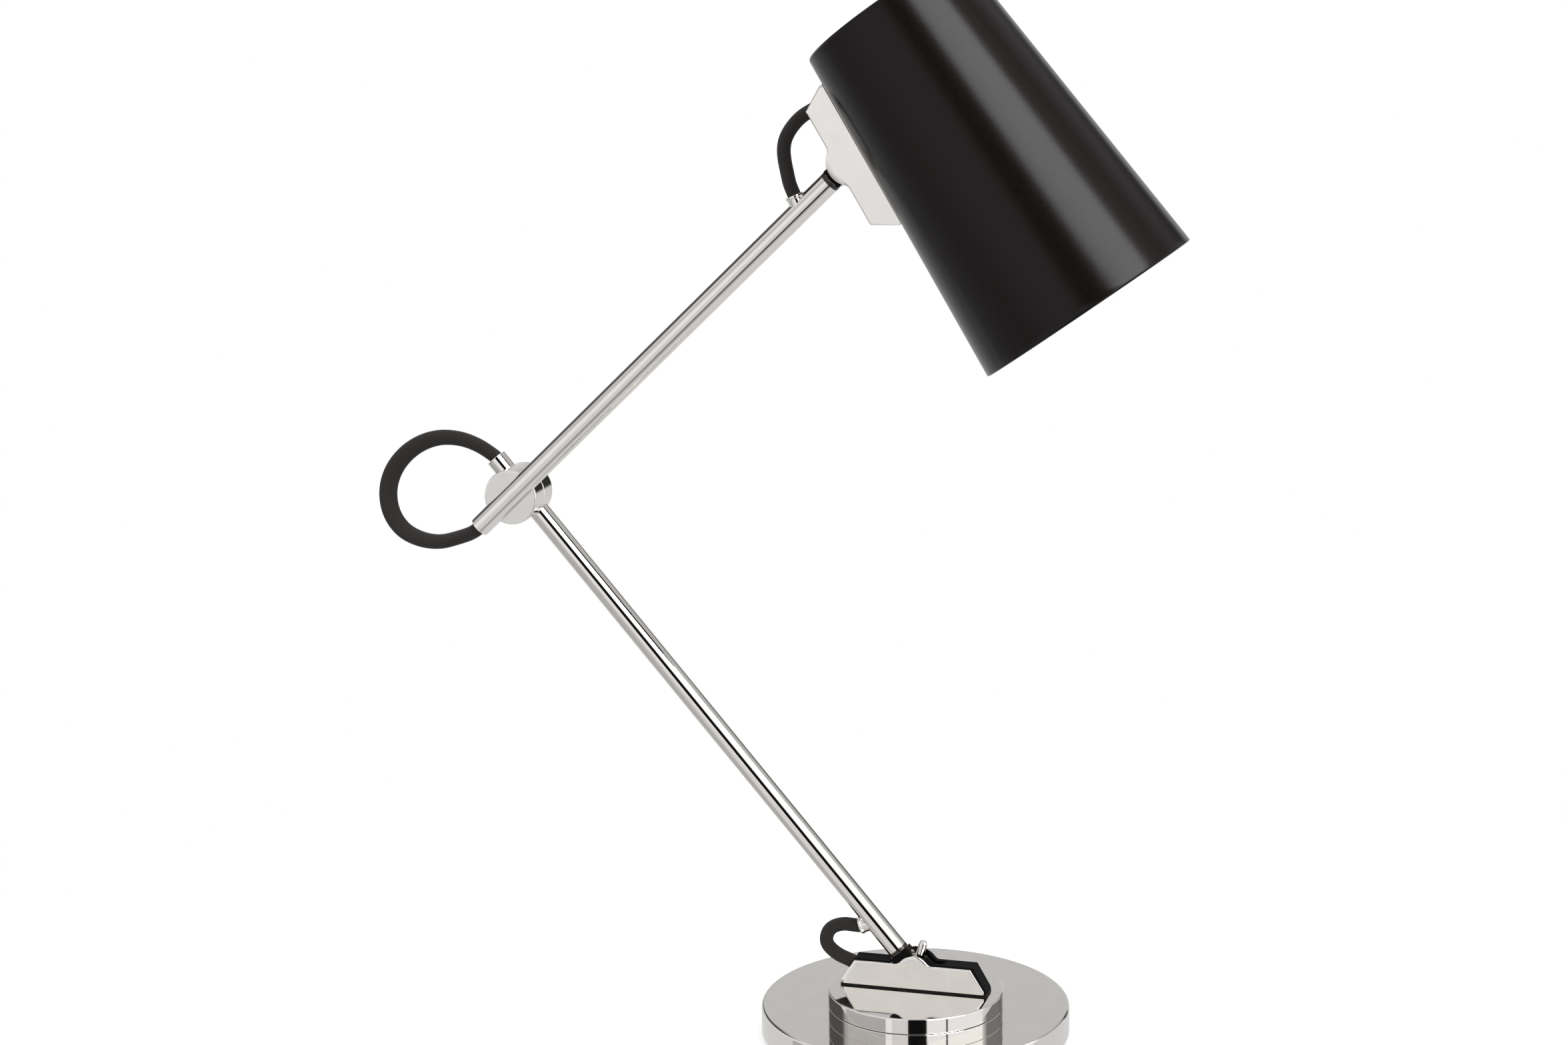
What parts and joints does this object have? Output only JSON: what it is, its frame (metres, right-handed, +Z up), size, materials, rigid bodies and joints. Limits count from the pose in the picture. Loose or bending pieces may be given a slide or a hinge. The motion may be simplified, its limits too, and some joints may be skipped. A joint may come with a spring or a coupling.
{
  "type": "desk lamp",
  "caption": "Two-arm friction-jointed desk lamp with a round weighted swivel base, disc elbow, tilting tapered metal shade and exposed braided cord loops at the joints.",
  "frame": {"origin": "middle of the round base's underside, on the table", "axes": "+Z up; the two arms fold in the XZ plane with the shade on the +X side; -Y is the side that the picture shows, where the upper arm lies on the elbow's front disc"},
  "size_m": [0.4699, 0.2013, 0.6213],
  "materials": {
    "polished_nickel": "mirror-polished nickel plate",
    "black_paint": "satin black paint outside, matt white inside",
    "black_nylon": "matt black moulded nylon",
    "black_rubber": "matt black rubber",
    "braided_cord": "charcoal braided textile",
    "felt": "black wool felt",
    "cast_iron": "rough cast, dark",
    "steel": "zinc-plated steel",
    "bakelite": "black moulded phenolic",
    "brass": "plain brass",
    "bulb_metal": "pressed aluminium",
    "bulb_glass": "frosted glass"
  },
  "bodies": {
    "base": {"felt_pad": "felt", "ballast_weight": "cast_iron", "base_cover": "polished_nickel", "base_screws": "steel", "lead_inlet_grommet": "black_rubber", "lower_puck": "polished_nickel", "puck_screws": "steel", "swivel_washer": "black_nylon"},
    "turret": {"upper_puck": "polished_nickel", "swivel_spindle": "steel", "swivel_spring_washer": "steel", "swivel_nut": "steel", "swivel_stop_pin": "steel", "base_bracket_gasket": "black_rubber", "base_bracket_front_cheek": "polished_nickel", "base_bracket_back_cheek": "polished_nickel", "base_bracket_core": "black_nylon", "base_bracket_screws": "steel", "base_cheek_screws": "polished_nickel", "base_hinge_pin": "polished_nickel", "base_cord_loop": "braided_cord"},
    "lower_arm": {"lower_hinge_tongue": "polished_nickel", "lower_friction_plates": "black_nylon", "lower_stop_pin": "polished_nickel", "lower_tube_plug": "black_nylon", "lower_tube": "polished_nickel", "lower_cord_boss": "polished_nickel", "lower_tube_bushing": "black_nylon", "lower_wires": "black_nylon", "elbow_back_disc": "polished_nickel", "elbow_washer": "black_nylon", "elbow_cord_loop": "braided_cord"},
    "upper_arm": {"elbow_front_disc": "polished_nickel", "elbow_screw": "polished_nickel", "elbow_tube_screws": "steel", "upper_tube": "polished_nickel", "upper_tube_bushing": "black_nylon", "upper_cord_boss": "polished_nickel", "upper_tube_plug": "black_nylon", "upper_hinge_tongue": "polished_nickel", "upper_friction_plates": "black_nylon", "upper_wires": "black_nylon", "head_cord_loop": "braided_cord"},
    "head": {"head_bracket_front_cheek": "polished_nickel", "head_bracket_back_cheek": "polished_nickel", "head_bracket_core": "black_nylon", "head_cheek_screws": "polished_nickel", "head_hinge_pin": "polished_nickel", "head_bracket_saddle": "black_rubber", "head_bracket_screws": "steel", "shade": "black_paint", "socket_strap": "steel", "holder_nipple": "steel", "nipple_nut": "steel", "lampholder_cap": "bakelite", "lampholder_skirt": "bakelite", "lampholder_shell": "brass", "bulb_cap": "bulb_metal", "bulb_glass": "bulb_glass"}
  },
  "joints": [
    {"name": "base_swivel", "type": "hinge", "parent": "base", "child": "turret", "pos_m": [0.0065, -0.025, 0.0266], "axis": [0, 0, 1], "range_deg": [-170, 170]},
    {"name": "base_tilt", "type": "hinge", "parent": "turret", "child": "lower_arm", "pos_m": [0.0065, -0.025, 0.0459], "axis": [0, 1, 0], "range_deg": [-1.5, 47], "deforming": ["base_cord_loop"]},
    {"name": "elbow", "type": "hinge", "parent": "lower_arm", "child": "upper_arm", "pos_m": [-0.22542, -0.025, 0.31783], "axis": [0, 1, 0], "range_deg": [-60, 55], "deforming": ["elbow_cord_loop"]},
    {"name": "head_tilt", "type": "hinge", "parent": "upper_arm", "child": "head", "pos_m": [-0.0217, -0.0468, 0.5121], "axis": [0, 1, 0], "range_deg": [-55, 28], "deforming": ["head_cord_loop"]}
  ]
}
